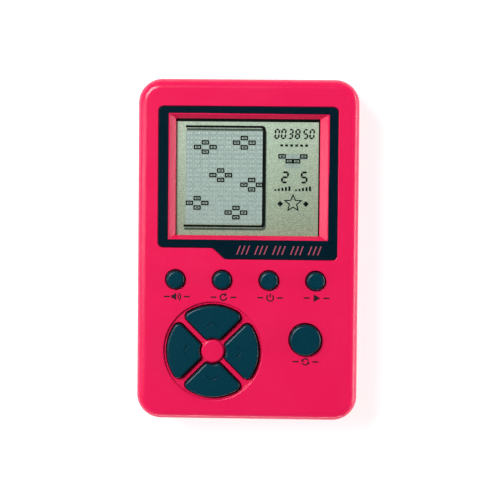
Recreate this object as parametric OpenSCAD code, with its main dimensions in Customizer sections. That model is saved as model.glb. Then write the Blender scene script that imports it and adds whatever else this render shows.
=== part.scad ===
// Handheld brick-puzzle game lying on its back: back face at z = 0, front face up, display end towards +Y.

/* [Case] */
// Width of the case, left to right
body_w = 60; // [56:0.5:70]
// Height of the case, button end to display end
body_h = 92.6; // [90:0.2:104]
// Radius of the case's corners seen from the front
corner_r = 6.6; // [5:0.2:8]
// Radius of the rounded front and back edges
edge_r = 2.6; // [1.8:0.1:3.2]
// Thickness of the case walls
wall = 1.6; // [1.2:0.1:2]
// Height of the joint between the rear and front shells
part_z = 9; // [8:0.25:9.5]
// Thickness of the locating lip inside the joint
lip_t = 0.7; // [0.5:0.1:0.9]
// Height of the locating lip above the joint
lip_h = 1; // [0.6:0.1:1.2]

/* [Window] */
// Width of the bevelled window at the front face
window_w = 43.2; // [42:0.2:44]
// Height of the bevelled window at the front face
window_h = 34; // [33:0.2:34.6]
// Sideways place of the window's middle
window_x = 0.1; // [-0.5:0.1:0.5]
// Place of the window's middle above the case's middle
window_y = 19.85; // [19.2:0.05:20.2]
// Width of the left bevel
bevel_left = 1.8; // [1.2:0.1:2.4]
// Width of the right bevel
bevel_right = 2.3; // [1.2:0.1:2.6]
// Width of the top bevel
bevel_top = 1.3; // [0.8:0.1:1.8]
// Width of the bottom bevel
bevel_bottom = 1; // [0.7:0.1:1.8]
// Depth of the bevel
bevel_drop = 1.5; // [1.2:0.1:1.6]
// Depth of the straight rim under the bevel
rim_drop = 0.9; // [0.5:0.1:1.3]
// Width of the rim that bears on the display
rim_w = 1.2; // [0.8:0.1:1.6]

/* [Inlay] */
// Width of the dark inlay plate
inlay_w = 48.6; // [47.6:0.2:50]
// Height of the plate without its tab
inlay_h = 38.3; // [37.6:0.1:39]
// Place of the plate's top edge above the case's middle
inlay_top = 38.85; // [38.4:0.05:39.2]
// Drop of the tab below the plate
tab_h = 3.05; // [2:0.05:3.4]
// Distance from the plate's left edge to the start of the tab's slope
tab_x = 14.8; // [12:0.2:20]
// Sideways run of the tab's slope
tab_run = 3.4; // [2:0.1:5]
// Radius of the plate's corners
inlay_r = 1.3; // [0.8:0.1:2]
// Thickness of the plate
inlay_t = 0.6; // [0.4:0.05:0.8]
// Depth of the plate's seat in the front face
inlay_seat = 0.5; // [0.3:0.05:0.6]

/* [Display] */
// Width of the display glass
glass_w = 43; // [42.6:0.2:44]
// Height of the front glass
glass_h = 37.2; // [36.8:0.2:37.6]
// Bare contact ledge at the front glass's lower edge
glass_ledge = 2.8; // [2.4:0.1:3.2]
// Thickness of each glass
glass_t = 0.7; // [0.5:0.05:1.1]
// Thickness of the polariser and of the reflector
film_t = 0.2; // [0.1:0.05:0.3]
// Margin between the polariser and the glass edge
film_margin = 0.5; // [0.2:0.1:0.8]
// Thickness of the foam pad behind the display
pad_t = 0.5; // [0.3:0.1:1]
// Width of the foam pad's bare border
pad_margin = 4; // [3:0.5:8]
// Width of the conductive rubber strip
zebra_w = 1.8; // [1.4:0.1:2]
// Length of the conductive rubber strip
zebra_len = 40; // [36:0.5:41]

/* [Keys] */
// Diameter of the four small keys
small_d = 5.2; // [4.4:0.1:6]
// Diameter of the large round key
turn_d = 8.7; // [7.6:0.1:9.6]
// Place of the first small key from the case's middle
small_x = -19.5; // [-20:0.1:-19]
// Place of the row of small keys above the case's middle
small_y = -8.2; // [-8.6:0.1:-8]
// Distance from one small key to the next
small_pitch = 12.7; // [12.2:0.1:13]
// Sideways place of the large key
turn_x = 15.95; // [15:0.05:17]
// Place of the large key above the case's middle
turn_y = -24.2; // [-26:0.1:-22]
// Sideways place of the direction pad
pad_x = -9.2; // [-9.6:0.1:-8]
// Place of the direction pad above the case's middle
pad_y = -27.6; // [-28:0.1:-27]
// Diameter over the four direction keys
pad_d = 25.2; // [24:0.1:25.8]
// Diameter of the round dish that the direction keys stand in
dish_d = 26.6; // [26.2:0.1:27.6]
// Depth of the dish
dish_depth = 0.6; // [0.3:0.1:0.8]
// Diameter of the button in the middle of the dish
hub_d = 6.3; // [5.6:0.1:7]
// Width of the step between the middle button and the key holes
hub_step = 0.2; // [0.15:0.05:0.4]
// Height of the middle button above the front face
hub_rise = 0.2; // [0:0.05:0.4]
// Width of the ribs between the direction keys
rib_w = 1.25; // [0.9:0.05:1.5]
// Corner radius of the direction keys
pad_corner_r = 1; // [0.6:0.1:1.3]
// Distance of the direction keys' plungers from the pad's middle
plunger_reach = 7.6; // [7:0.1:8]
// Radius of the rounded top edge of the round keys
key_edge_r = 0.7; // [0.3:0.1:1]
// Step of the direction keys' softened top edge
pad_edge = 0.3; // [0.2:0.05:0.5]
// Height of the small keys above the front face
small_rise = 1.3; // [1.1:0.1:1.8]
// Height of the large key above the front face
turn_rise = 1.6; // [1.1:0.1:2.2]
// Height of the direction keys above the front face
pad_rise = 1.1; // [1.05:0.05:1.6]
// Travel of every key
key_travel = 1; // [0.6:0.1:1]
// Clearance between a key and its hole
key_gap = 0.2; // [0.15:0.05:0.3]
// Width of the flange that keeps a key in
flange_w = 0.5; // [0.3:0.05:0.5]
// Thickness of the key flange
flange_t = 1; // [0.7:0.1:1.2]
// Radius of a key's plunger
plunger_r = 1.4; // [1:0.1:1.6]
// Length of a key's plunger
plunger_h = 2; // [1.5:0.1:2.6]

/* [Rubber mats] */
// Thickness of the rubber sheets
sheet_t = 0.8; // [0.5:0.1:1]
// Height of a dome above its sheet
dome_h = 2; // [1.8:0.1:2.6]
// Radius of a dome at its foot
dome_r = 3.1; // [2.8:0.1:3.3]
// Radius of a dome's flat top
dome_top_r = 1.9; // [1.6:0.1:2.2]
// Wall of a dome
dome_wall = 0.5; // [0.4:0.05:0.7]
// Border of a sheet around its domes
sheet_margin = 0.7; // [0.4:0.1:0.8]
// Radius of a carbon pill
pill_r = 1.1; // [0.8:0.05:1.2]
// Thickness of a carbon pill
pill_t = 0.4; // [0.3:0.05:0.5]

/* [Circuit board] */
// Width of the board
board_w = 53.6; // [53:0.2:54]
// Place of the board's upper edge above the case's middle
board_top_y = 5.4; // [5:0.1:5.6]
// Gap between the board's lower edge and the case wall
board_foot_gap = 2.7; // [1.7:0.1:3.5]
// Thickness of the board
board_t = 1.2; // [0.8:0.1:1.6]
// Distance of the board screws from the middle, sideways
board_screw_x = 24.6; // [24.4:0.1:25]
// Place of the upper board screws
board_screw_high = -1.8; // [-2.4:0.1:-1.4]
// Distance of the lower board screws above the lower case screws
board_screw_step = 7.7; // [6:0.1:10]
// Diameter of the buzzer
buzzer_d = 13; // [10:0.5:14]
// Height of the buzzer
buzzer_h = 4.5; // [3:0.1:5.5]
// Sideways place of the buzzer
buzzer_x = 11; // [8:0.5:14]
// Place of the buzzer above the case's middle
buzzer_y = -30; // [-33:0.5:-26]

/* [Battery bay] */
// Diameter of a cell
cell_d = 10.5; // [10:0.1:10.6]
// Length of a cell over its button
cell_len = 44.5; // [43:0.1:44.8]
// Room around each cell
cell_gap = 0.3; // [0.2:0.05:0.4]
// Room for the contacts at each end of a cell
contact_room = 3.2; // [2.6:0.1:3.4]
// Place of the bay's lower inner edge above the case's middle
bay_y = 8.4; // [8.2:0.1:9]
// Thickness of the bay's walls
bay_wall = 1; // [0.8:0.1:1.2]
// Thickness of the bay's roof
bay_roof = 0.8; // [0.6:0.1:1.2]
// Thickness of the contact plates
contact_t = 0.3; // [0.2:0.05:0.4]
// Thickness of the battery door
door_t = 1.4; // [1.2:0.1:1.6]
// Clearance around the battery door
door_gap = 0.2; // [0.15:0.05:0.3]
// Thickness of the ledge that the door closes on
ledge_t = 1.2; // [1:0.1:1.5]
// Width of the ledge past the cells' opening
ledge_w = 2; // [1.6:0.1:2.2]
// Radius of the door's corners
door_r = 2.2; // [1.5:0.1:2.8]

/* [Screws] */
// Distance of the case screws from the case's sides
screw_inset = 5.6; // [5.3:0.1:5.8]
// Radius of the case screws' thread
screw_r = 1; // [0.8:0.05:1.1]
// Radius of the case screws' heads
head_r = 1.9; // [1.7:0.05:2]
// Height of the screw heads
head_h = 1.2; // [0.9:0.1:1.4]
// Depth of the screw wells in the back
well_depth = 4; // [3:0.25:4.5]
// Thread length inside the front bosses
screw_grip = 4; // [3:0.25:5]
// Radial clearance of the screws in their holes
screw_gap = 0.08; // [0.05:0.01:0.1]
// Wall of the screw bosses
boss_wall = 0.7; // [0.6:0.05:0.8]

/* [Hidden] */
$fn = 64;
// Colours
CASE_PINK = [0.92, 0.14, 0.36];
DARK_TEAL = [0.03, 0.13, 0.18];
KEY_TEAL = [0.02, 0.22, 0.27];
RUBBER_GREY = [0.55, 0.57, 0.58];
// Small clearances and overlaps
cut = 0.05;
slide_gap = 0.2;
film_clear = 0.1;
inlay_gap = 0.1;
// Heights of the layers, from the battery door up to the front face
cell_z = door_t + cell_gap + cell_d / 2;
bay_in_top = cell_z + cell_d / 2 + cell_gap;
bay_top = bay_in_top + bay_roof;
reflector_z = bay_top + pad_t;
rear_glass_z = reflector_z + film_t;
front_glass_z = rear_glass_z + glass_t;
polariser_z = front_glass_z + glass_t;
display_top = polariser_z + film_t;
body_t = display_top + rim_drop + bevel_drop;
front_in = body_t - wall;
// Heights of the key layers, from the front shell down to the board
flange_z = front_in - slide_gap - flange_t;
key_foot_z = flange_z - plunger_h;
dome_top_z = key_foot_z - film_clear;
board_top = dome_top_z - dome_h - sheet_t;
board_z = board_top - board_t;
pill_z = board_top + key_travel + film_clear;
// Places across the front; the films reach a little past the window's lower edge
inlay_low = inlay_top - inlay_h;
window_low = window_y - window_h / 2;
window_high = window_y + window_h / 2;
window_left = window_x - window_w / 2;
window_right = window_x + window_w / 2;
film_cover = 0.2;
glass_low = window_low + bevel_bottom - film_cover - film_margin - glass_ledge;
glass_y = glass_low + glass_h / 2;
// Battery bay and door
bay_w = cell_len + 2 * contact_room;
bay_h = 2 * cell_d + 3 * cell_gap;
cell_low_y = bay_y + cell_gap + cell_d / 2;
cell_high_y = cell_low_y + cell_d + cell_gap;
opening_w = cell_len + 2 * cell_gap;
door_screw_drop = 3.6;
door_screw_y = bay_y - door_screw_drop;
door_low = door_screw_y - 3.1;
door_high = bay_y + bay_h + ledge_w;
door_w = opening_w + 2 * ledge_w;
door_h = door_high - door_low;
door_mid = (door_low + door_high) / 2;
seat_z = door_t + door_gap;
ledge_top = seat_z + ledge_t;
door_screw_r = 0.9;
door_head_r = 1.7;
door_head_h = 1;
door_pad_r = 2.2;
door_pad_top = ledge_top - 0.3;
door_boss_r = 3.2;
door_boss_top = board_z - 1;
// Case screws and bosses
screw_x = body_w / 2 - screw_inset;
screw_y = body_h / 2 - screw_inset;
well_r = head_r + slide_gap;
boss_r = well_r + boss_wall;
board_post_r = 2;
board_screw_r = 0.8;
board_head_r = 1.5;
board_head_h = 0.9;
board_screw_len = 4;
board_screw_low = board_screw_step - screw_y;
board_screw_ys = [board_screw_high, board_screw_low];
board_low_y = board_foot_gap + wall - body_h / 2;
// Places and sizes of the small parts on the board's underside
blob_at = [-9, -16];
can_at = [14, -13];
chips_at = [-2, -20];
chip_pitch = 3.4;
chip_size = [2, 1.25, 0.6];
vent_r = 1;
// Keys
KEY_NAMES = ["up", "down", "left", "right", "turn", "sound", "reset", "power", "start"];
PAD_NAMES = ["up", "left", "down", "right"];
SMALL_NAMES = ["sound", "reset", "power", "start"];
sector_gap = rib_w / 2 + key_gap;
mat_r = dome_r + sheet_margin;

// Index of a name in a list, or -1
function place_in(name, names) = let (hits = search([name], names)[0]) hits == [] ? -1 : hits;
// Turn of a direction key about the pad's middle
function pad_turn(name) = 90 * place_in(name, PAD_NAMES);
// Place of a key's plunger, dome and pill
function key_place(name) =
    name == "turn" ? [turn_x, turn_y]
    : place_in(name, SMALL_NAMES) >= 0 ? [small_x + small_pitch * place_in(name, SMALL_NAMES), small_y]
    : [pad_x - plunger_reach * sin(pad_turn(name)), pad_y + plunger_reach * cos(pad_turn(name))];

// Flat rounded rectangle about the middle
module rounded_rect(w, h, r) {
    square([w - 2 * r, h], center = true);
    square([w, h - 2 * r], center = true);
    for (sx = [-1, 1], sy = [-1, 1])
        translate([sx * (w / 2 - r), sy * (h / 2 - r)]) circle(r);
}

// Half section of a slab with a rounded upper edge
module edge_section(r, t, e) {
    square([r - e, t]);
    square([r, t - e]);
    translate([r - e, t - e]) circle(e);
}

// Slab with round corners and a rounded upper edge
module soft_slab(w, h, t, r, e) {
    side_x = w / 2 - r;
    side_y = h / 2 - r;
    translate([-side_x, -side_y, 0]) cube([2 * side_x, 2 * side_y, t]);
    for (turn = [0, 180]) rotate([0, 0, turn]) {
        translate([side_x, side_y, 0]) rotate([90, 0, 0]) linear_extrude(2 * side_y) edge_section(r, t, e);
        rotate([0, 0, 90]) translate([side_y, side_x, 0])
            rotate([90, 0, 0]) linear_extrude(2 * side_x) edge_section(r, t, e);
        translate([side_x, side_y, 0]) rotate_extrude(angle = 90) edge_section(r, t, e);
        translate([-side_x, side_y, 0]) rotate([0, 0, 90]) rotate_extrude(angle = 90) edge_section(r, t, e);
    }
}

// Upright ring wall that follows the case outline between two depths from the outside
module outline_ring(depth_out, depth_in, z_low, z_high) {
    translate([0, 0, z_low]) linear_extrude(z_high - z_low) difference() {
        rounded_rect(body_w - 2 * depth_out, body_h - 2 * depth_out, corner_r - depth_out);
        rounded_rect(body_w - 2 * depth_in, body_h - 2 * depth_in, corner_r - depth_in);
    }
}

// Places of the four case screws
module at_case_screws() {
    for (sx = [-1, 1], sy = [-1, 1]) translate([sx * screw_x, sy * screw_y, 0]) children();
}

// Places of the four board screws
module at_board_screws() {
    for (sx = [-1, 1], y = board_screw_ys) translate([sx * board_screw_x, y, 0]) children();
}

// Window cut: a frustum whose four bevels have their own widths, then a straight rim
module window_cut() {
    bevel_z = body_t - bevel_drop;
    low = display_top - 1;
    over = body_t + 1;
    intersection() {
        translate([0, window_high + 1, 0]) rotate([90, 0, 0]) linear_extrude(window_h + 2) polygon([
            [window_left, over], [window_left, body_t], [window_left + bevel_left, bevel_z],
            [window_left + bevel_left, low], [window_right - bevel_right, low],
            [window_right - bevel_right, bevel_z], [window_right, body_t], [window_right, over]
        ]);
        translate([window_left - 1, 0, 0]) rotate([90, 0, 90]) linear_extrude(window_w + 2) polygon([
            [window_low, over], [window_low, body_t], [window_low + bevel_bottom, bevel_z],
            [window_low + bevel_bottom, low], [window_high - bevel_top, low],
            [window_high - bevel_top, bevel_z], [window_high, body_t], [window_high, over]
        ]);
    }
}

// Outline of the inlay plate, with its stepped tab at the lower right
module inlay_outline(grow) {
    half = inlay_w / 2 + grow;
    r = inlay_r + grow;
    slope_x = tab_x - inlay_w / 2;
    tab_low = inlay_low - tab_h - grow;
    foot_x = slope_x + tab_run + r;
    translate([0, inlay_low + inlay_h / 2]) rounded_rect(2 * half, inlay_h + 2 * grow, r);
    polygon([
        [slope_x - grow, inlay_low - grow], [slope_x + tab_run - grow, tab_low + r], [foot_x, tab_low],
        [half - r, tab_low], [half, tab_low + r], [half, inlay_low + r], [slope_x - grow, inlay_low + r]
    ]);
    translate([half - r, tab_low + r]) circle(r);
}

// Sector of the direction pad about its middle, pointing up, grown by an allowance
module pad_sector(grow) {
    far = pad_d;
    edge = (sector_gap - grow) * sqrt(2);
    offset(r = pad_corner_r) offset(delta = -pad_corner_r) intersection() {
        difference() {
            circle(pad_d / 2 + grow);
            circle(hub_d / 2 + hub_step + key_gap - grow);
        }
        polygon([[0, edge], [far, far + edge], [-far, far + edge]]);
    }
}

// Holes and dish that the keys come through
module key_holes() {
    translate([turn_x, turn_y, part_z]) cylinder(d = turn_d + 2 * key_gap, h = body_t);
    for (k = SMALL_NAMES)
        translate([key_place(k)[0], key_place(k)[1], part_z]) cylinder(d = small_d + 2 * key_gap, h = body_t);
    translate([pad_x, pad_y, body_t - dish_depth]) cylinder(d = dish_d, h = body_t);
    for (k = PAD_NAMES)
        translate([pad_x, pad_y, part_z]) rotate([0, 0, pad_turn(k)])
            linear_extrude(body_t) pad_sector(key_gap);
}

// Fence behind the front face that keeps the display glass in place
module glass_fence() {
    fence_t = 1;
    room = 2 * slide_gap;
    translate([0, glass_y, rear_glass_z]) linear_extrude(front_in + cut - rear_glass_z) difference() {
        square([glass_w + room + 2 * fence_t, glass_h + room + 2 * fence_t], center = true);
        square([glass_w + room, glass_h + room], center = true);
        translate([0, -glass_h / 2]) square([zebra_len + 2 * zebra_w, 2 * zebra_w], center = true);
    }
}

module front_shell() {
    color(CASE_PINK) difference() {
        union() {
            difference() {
                translate([0, 0, part_z]) soft_slab(body_w, body_h, body_t - part_z, corner_r, edge_r);
                translate([0, 0, part_z - 1]) soft_slab(body_w - 2 * wall, body_h - 2 * wall,
                    front_in - part_z + 1, corner_r - wall, max(edge_r - wall, 0.3));
            }
            at_case_screws() translate([0, 0, part_z]) cylinder(r = boss_r, h = front_in + cut - part_z);
            glass_fence();
            translate([(window_left + bevel_left + window_right - bevel_right) / 2,
                (window_low + bevel_bottom + window_high - bevel_top) / 2, display_top])
                linear_extrude(front_in + cut - display_top) square([
                    window_w - bevel_left - bevel_right + 2 * rim_w,
                    window_h - bevel_bottom - bevel_top + 2 * rim_w
                ], center = true);
        }
        window_cut();
        translate([0, 0, body_t - inlay_seat]) linear_extrude(1) difference() {
            inlay_outline(inlay_gap);
            translate([window_x, window_y]) square([window_w, window_h], center = true);
        }
        key_holes();
        at_case_screws() translate([0, 0, part_z - 1])
            cylinder(r = screw_r + screw_gap, h = screw_grip + 2);
    }
    color(CASE_PINK) translate([pad_x, pad_y, 0]) rotate_extrude() {
        translate([0, front_in]) square([hub_d / 2 - 0.5, body_t + hub_rise - front_in]);
        translate([0, front_in]) square([hub_d / 2, body_t + hub_rise - 0.5 - front_in]);
        translate([hub_d / 2 - 0.5, body_t + hub_rise - 0.5]) circle(0.5);
    }
}

// Walls, roof and ledge of the battery bay, solid before the openings are cut
module bay_block() {
    bay_mid = bay_y + bay_h / 2;
    translate([0, bay_mid, 0]) linear_extrude(bay_top)
        square([bay_w + 2 * bay_wall, bay_h + 2 * bay_wall], center = true);
    translate([0, door_mid, 0]) linear_extrude(ledge_top)
        rounded_rect(door_w + 2 * wall, door_h + 2 * wall, door_r + wall);
    translate([0, door_screw_y, ledge_top - cut]) cylinder(r = door_boss_r, h = door_boss_top - ledge_top);
}

// Everything cut out of the battery bay
module bay_cuts() {
    bay_mid = bay_y + bay_h / 2;
    slot_w = contact_t + slide_gap;
    translate([0, bay_mid, ledge_top]) linear_extrude(bay_in_top - ledge_top)
        square([bay_w, bay_h], center = true);
    translate([0, bay_mid, seat_z - cut]) linear_extrude(ledge_t + 2 * cut)
        square([opening_w, bay_h], center = true);
    translate([0, door_mid, -1]) linear_extrude(seat_z + 1)
        rounded_rect(door_w + 2 * door_gap, door_h + 2 * door_gap, door_r + door_gap);
    translate([0, door_screw_y, 0]) cylinder(r = door_pad_r + slide_gap, h = ledge_top + cut);
    translate([0, door_screw_y, 0]) cylinder(r = door_screw_r + screw_gap, h = door_boss_top + 1);
    // Slots that clear the two tails from the bay to the board
    slot_low = tail_low - slide_gap;
    slot_len = bay_y + bay_wall - slot_low;
    for (z = [board_top, ledge_top])
        translate([-bay_w / 2, slot_low, z]) cube([slot_w, slot_len, tail_w + slide_gap]);
    translate([-bay_w / 2, slot_low, ledge_top])
        cube([slot_w, tail_w + 2 * slide_gap, board_top - ledge_top]);
}

// Sound holes under the buzzer: one in the middle and a ring of six
module sound_holes() {
    hole_r = 0.8;
    ring_r = 3.2;
    translate([buzzer_x, buzzer_y, -1]) {
        cylinder(r = hole_r, h = wall + 2);
        for (a = [0:60:300]) rotate([0, 0, a]) translate([ring_r, 0, 0]) cylinder(r = hole_r, h = wall + 2);
    }
}

module rear_shell() {
    color(CASE_PINK) difference() {
        union() {
            difference() {
                translate([0, 0, part_z]) mirror([0, 0, 1])
                    soft_slab(body_w, body_h, part_z, corner_r, edge_r);
                translate([0, 0, part_z + 1]) mirror([0, 0, 1]) soft_slab(body_w - 2 * wall,
                    body_h - 2 * wall, part_z + 1 - wall, corner_r - wall, max(edge_r - wall, 0.3));
            }
            outline_ring(wall - cut, wall + slide_gap + lip_t, part_z - 2, part_z);
            difference() {
                outline_ring(wall + slide_gap, wall + slide_gap + lip_t, part_z - cut, part_z + lip_h);
                at_case_screws() cylinder(r = boss_r + slide_gap, h = body_t);
            }
            at_case_screws() translate([0, 0, edge_r / 2]) cylinder(r = boss_r, h = part_z - edge_r / 2);
            at_board_screws() translate([0, 0, wall - cut])
                cylinder(r = board_post_r, h = board_z - wall + cut);
            bay_block();
        }
        at_case_screws() {
            translate([0, 0, -1]) cylinder(r = well_r, h = well_depth + 1);
            cylinder(r = screw_r + screw_gap, h = body_t);
        }
        at_board_screws() translate([0, 0, board_z - board_screw_len])
            cylinder(r = board_screw_r + screw_gap, h = board_screw_len + 1);
        bay_cuts();
        sound_holes();
    }
}

module inlay_plate() {
    color(DARK_TEAL) translate([0, 0, body_t - inlay_seat]) linear_extrude(inlay_t) difference() {
        inlay_outline(0);
        translate([window_x, window_y])
            square([window_w + 2 * inlay_gap, window_h + 2 * inlay_gap], center = true);
    }
}

module display_polariser() {
    film_h = glass_h - glass_ledge - 2 * film_margin;
    color([0.66, 0.73, 0.63]) translate([0, glass_y + glass_ledge / 2, polariser_z]) linear_extrude(film_t)
        square([glass_w - 2 * film_margin, film_h], center = true);
}

module display_front_glass() {
    color([0.75, 0.82, 0.8]) translate([0, glass_y, front_glass_z]) linear_extrude(glass_t)
        square([glass_w, glass_h], center = true);
}

module display_rear_glass() {
    color([0.72, 0.8, 0.78]) translate([0, glass_y + glass_ledge / 2, rear_glass_z]) linear_extrude(glass_t)
        square([glass_w, glass_h - glass_ledge], center = true);
}

module display_reflector() {
    film_h = glass_h - glass_ledge - 2 * film_margin;
    color([0.62, 0.69, 0.58]) translate([0, glass_y + glass_ledge / 2, reflector_z]) linear_extrude(film_t)
        square([glass_w - 2 * film_margin, film_h], center = true);
}

module display_pad() {
    pad_low = bay_y + pad_margin;
    pad_high = bay_y + bay_h - pad_margin;
    color([0.2, 0.2, 0.2]) translate([0, (pad_low + pad_high) / 2, bay_top]) linear_extrude(pad_t)
        square([glass_w - 2 * pad_margin, pad_high - pad_low], center = true);
}

// Middle of the contact ledge that the rubber strip presses on
zebra_y = glass_low + glass_ledge / 2;

module zebra_strip() {
    color([0.25, 0.22, 0.2]) translate([0, zebra_y, board_top]) linear_extrude(front_glass_z - board_top)
        square([zebra_len, zebra_w], center = true);
}

module zebra_holder() {
    holder_edge = slide_gap + 0.9;
    holder_h = 2.6;
    color([0.9, 0.9, 0.88]) translate([0, zebra_y, board_top]) linear_extrude(holder_h) difference() {
        square([zebra_len + 2 * holder_edge, zebra_w + 2 * holder_edge], center = true);
        square([zebra_len + 2 * film_clear, zebra_w + 2 * film_clear], center = true);
    }
}

module main_board() {
    board_h = board_top_y - board_low_y;
    color([0.1, 0.35, 0.18]) translate([0, 0, board_z]) linear_extrude(board_t) difference() {
        translate([0, board_low_y + board_h / 2]) square([board_w, board_h], center = true);
        for (sx = [-1, 1]) {
            translate([sx * screw_x, -screw_y]) circle(boss_r + 2 * slide_gap);
            translate([sx * (screw_x + boss_r), -screw_y - boss_r])
                square(2 * (boss_r + 2 * slide_gap), center = true);
            translate([sx * board_screw_x, board_screw_high]) circle(board_screw_r + screw_gap);
            translate([sx * board_screw_x, board_screw_low]) circle(board_screw_r + screw_gap);
        }
    }
}

// Epoxy dome over the bare chip on the board's underside
module chip_blob() {
    blob_r = 5;
    blob_h = 1.6;
    ball_r = (blob_r * blob_r + blob_h * blob_h) / (2 * blob_h);
    color([0.05, 0.05, 0.06]) translate([blob_at[0], blob_at[1], board_z]) intersection() {
        translate([0, 0, ball_r - blob_h]) sphere(ball_r);
        translate([0, 0, -blob_h - 1]) cylinder(r = blob_r + 1, h = blob_h + 1);
    }
}

module buzzer() {
    color([0.12, 0.12, 0.13]) translate([buzzer_x, buzzer_y, board_z - buzzer_h]) difference() {
        cylinder(d = buzzer_d, h = buzzer_h);
        translate([0, 0, -vent_r]) cylinder(r = vent_r, h = 2 * vent_r);
    }
}

module capacitor() {
    can_r = 2.5;
    can_h = 5;
    color([0.15, 0.2, 0.45]) translate([can_at[0], can_at[1], board_z - can_h])
        cylinder(r = can_r, h = can_h);
}

// Small resistors and capacitors on the board's underside
module board_chips() {
    chip_low = board_z - chip_size[2];
    for (column = [0:2], row = [0:1])
        color([0.3, 0.27, 0.22])
            translate([chips_at[0] + chip_pitch * column, chips_at[1] - chip_pitch * row, chip_low])
                cube(chip_size);
}

// Hollow rubber dome, open towards the board
module dome_outer() {
    rotate_extrude() polygon([
        [0, board_top], [dome_r, board_top], [dome_r, board_top + sheet_t], [dome_top_r, dome_top_z - 0.8],
        [dome_top_r, dome_top_z], [0, dome_top_z]
    ]);
}

module dome_hollow() {
    rotate_extrude() polygon([
        [0, board_top - 1], [dome_r - dome_wall, board_top - 1],
        [dome_r - dome_wall, board_top + sheet_t / 2],
        [dome_top_r - dome_wall, pill_z + pill_t], [0, pill_z + pill_t]
    ]);
}

// Sheet pad under one dome, and a strip that joins two domes
module sheet_patch(name) {
    translate(key_place(name)) circle(mat_r);
}

module sheet_strip(name_a, name_b, half_w) {
    a = key_place(name_a);
    b = key_place(name_b);
    along = b - a;
    translate(a) rotate([0, 0, atan2(along[1], along[0])])
        translate([0, -half_w]) square([norm(along), 2 * half_w]);
}

module rubber_domes(names) {
    difference() {
        union() {
            translate([0, 0, board_top]) linear_extrude(sheet_t) children();
            for (k = names) translate(key_place(k)) dome_outer();
        }
        for (k = names) translate(key_place(k)) dome_hollow();
    }
}

module function_mat() {
    color(RUBBER_GREY) rubber_domes(SMALL_NAMES) {
        union() {
            for (k = SMALL_NAMES) sheet_patch(k);
            sheet_strip("sound", "start", mat_r / 2);
        }
    }
}

module action_mat() {
    names = concat(PAD_NAMES, ["turn"]);
    color(RUBBER_GREY) rubber_domes(names) {
        union() {
            for (k = names) sheet_patch(k);
            sheet_strip("up", "down", mat_r / 2);
            sheet_strip("left", "right", mat_r / 2);
            sheet_strip("right", "turn", mat_r / 2);
        }
    }
}

// Round key with its flange and plunger
module round_key(d, rise) {
    r = d / 2;
    top = body_t + rise;
    rotate_extrude() {
        translate([0, key_foot_z]) square([plunger_r, plunger_h + cut]);
        translate([0, flange_z]) square([r + key_gap + flange_w, flange_t]);
        translate([0, flange_z]) square([r, top - key_edge_r - flange_z]);
        translate([0, flange_z]) square([r - key_edge_r, top - flange_z]);
        translate([r - key_edge_r, top - key_edge_r]) circle(key_edge_r);
    }
}

// Direction key: a sector with a softened top edge, a flange and a plunger
module sector_key(name) {
    top = body_t + pad_rise;
    translate([pad_x, pad_y, 0]) rotate([0, 0, pad_turn(name)]) {
        translate([0, 0, flange_z]) linear_extrude(flange_t) pad_sector(key_gap + flange_w - cut);
        translate([0, 0, flange_z]) linear_extrude(top - pad_edge - flange_z) pad_sector(0);
        translate([0, 0, flange_z]) linear_extrude(top - flange_z) pad_sector(-pad_edge);
        translate([0, plunger_reach, key_foot_z]) cylinder(r = plunger_r, h = plunger_h + cut);
    }
}

module key(name) {
    color(KEY_TEAL) {
        if (place_in(name, PAD_NAMES) >= 0) sector_key(name);
        else if (name == "turn") translate(key_place(name)) round_key(turn_d, turn_rise);
        else translate(key_place(name)) round_key(small_d, small_rise);
    }
}

// Carbon pill that closes a key's contact on the board
module pill(name) {
    at = key_place(name);
    color([0.08, 0.08, 0.08]) translate([at[0], at[1], pill_z]) cylinder(r = pill_r, h = pill_t);
}

module battery_door() {
    groove_count = 5;
    groove_pitch = 1.6;
    groove_w = 0.7;
    groove_len = 16;
    groove_depth = 0.4;
    color(CASE_PINK) difference() {
        union() {
            translate([0, door_mid, 0]) linear_extrude(door_t) rounded_rect(door_w, door_h, door_r);
            translate([0, door_screw_y, 0]) cylinder(r = door_pad_r, h = door_pad_top);
        }
        translate([0, door_screw_y, -1]) cylinder(r = door_head_r + slide_gap, h = door_head_h + 1);
        translate([0, door_screw_y, 0]) cylinder(r = door_screw_r + screw_gap, h = door_pad_top + 1);
        for (i = [1:groove_count])
            translate([-groove_len / 2, door_high - 1 - i * groove_pitch, -1])
                cube([groove_len, groove_w, groove_depth + 1]);
    }
}

// Cross-slotted screw standing on its head, head below z = 0
module slotted_screw(shank_r, shank_len, cap_r, cap_h) {
    slot_w = 0.5;
    slot_depth = cap_h / 2;
    difference() {
        union() {
            translate([0, 0, -cap_h]) cylinder(r = cap_r, h = cap_h);
            translate([0, 0, -cut]) cylinder(r = shank_r, h = shank_len + cut);
        }
        for (turn = [0, 90]) rotate([0, 0, turn])
            translate([-cap_r * 0.7, -slot_w / 2, -cap_h - 1]) cube([cap_r * 1.4, slot_w, slot_depth + 1]);
    }
}

module door_screw() {
    color("silver") translate([0, door_screw_y, door_head_h])
        slotted_screw(door_screw_r, door_boss_top - door_head_h - 0.5, door_head_r, door_head_h);
}

module case_screws() {
    color("silver") at_case_screws() translate([0, 0, well_depth])
        slotted_screw(screw_r, part_z - well_depth + screw_grip, head_r, head_h);
}

module board_screws() {
    color("silver") at_board_screws() translate([0, 0, board_top]) mirror([0, 0, 1])
        slotted_screw(board_screw_r, board_t + board_screw_len - 0.5, board_head_r, board_head_h);
}

// Dry cell along X with its button at the right end
module cell() {
    button_r = 1.9;
    button_h = 1;
    rotate([0, 90, 0]) {
        translate([0, 0, -cell_len / 2]) cylinder(d = cell_d, h = cell_len - button_h);
        translate([0, 0, cell_len / 2 - button_h - cut]) cylinder(r = button_r, h = button_h + cut);
    }
}

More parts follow.
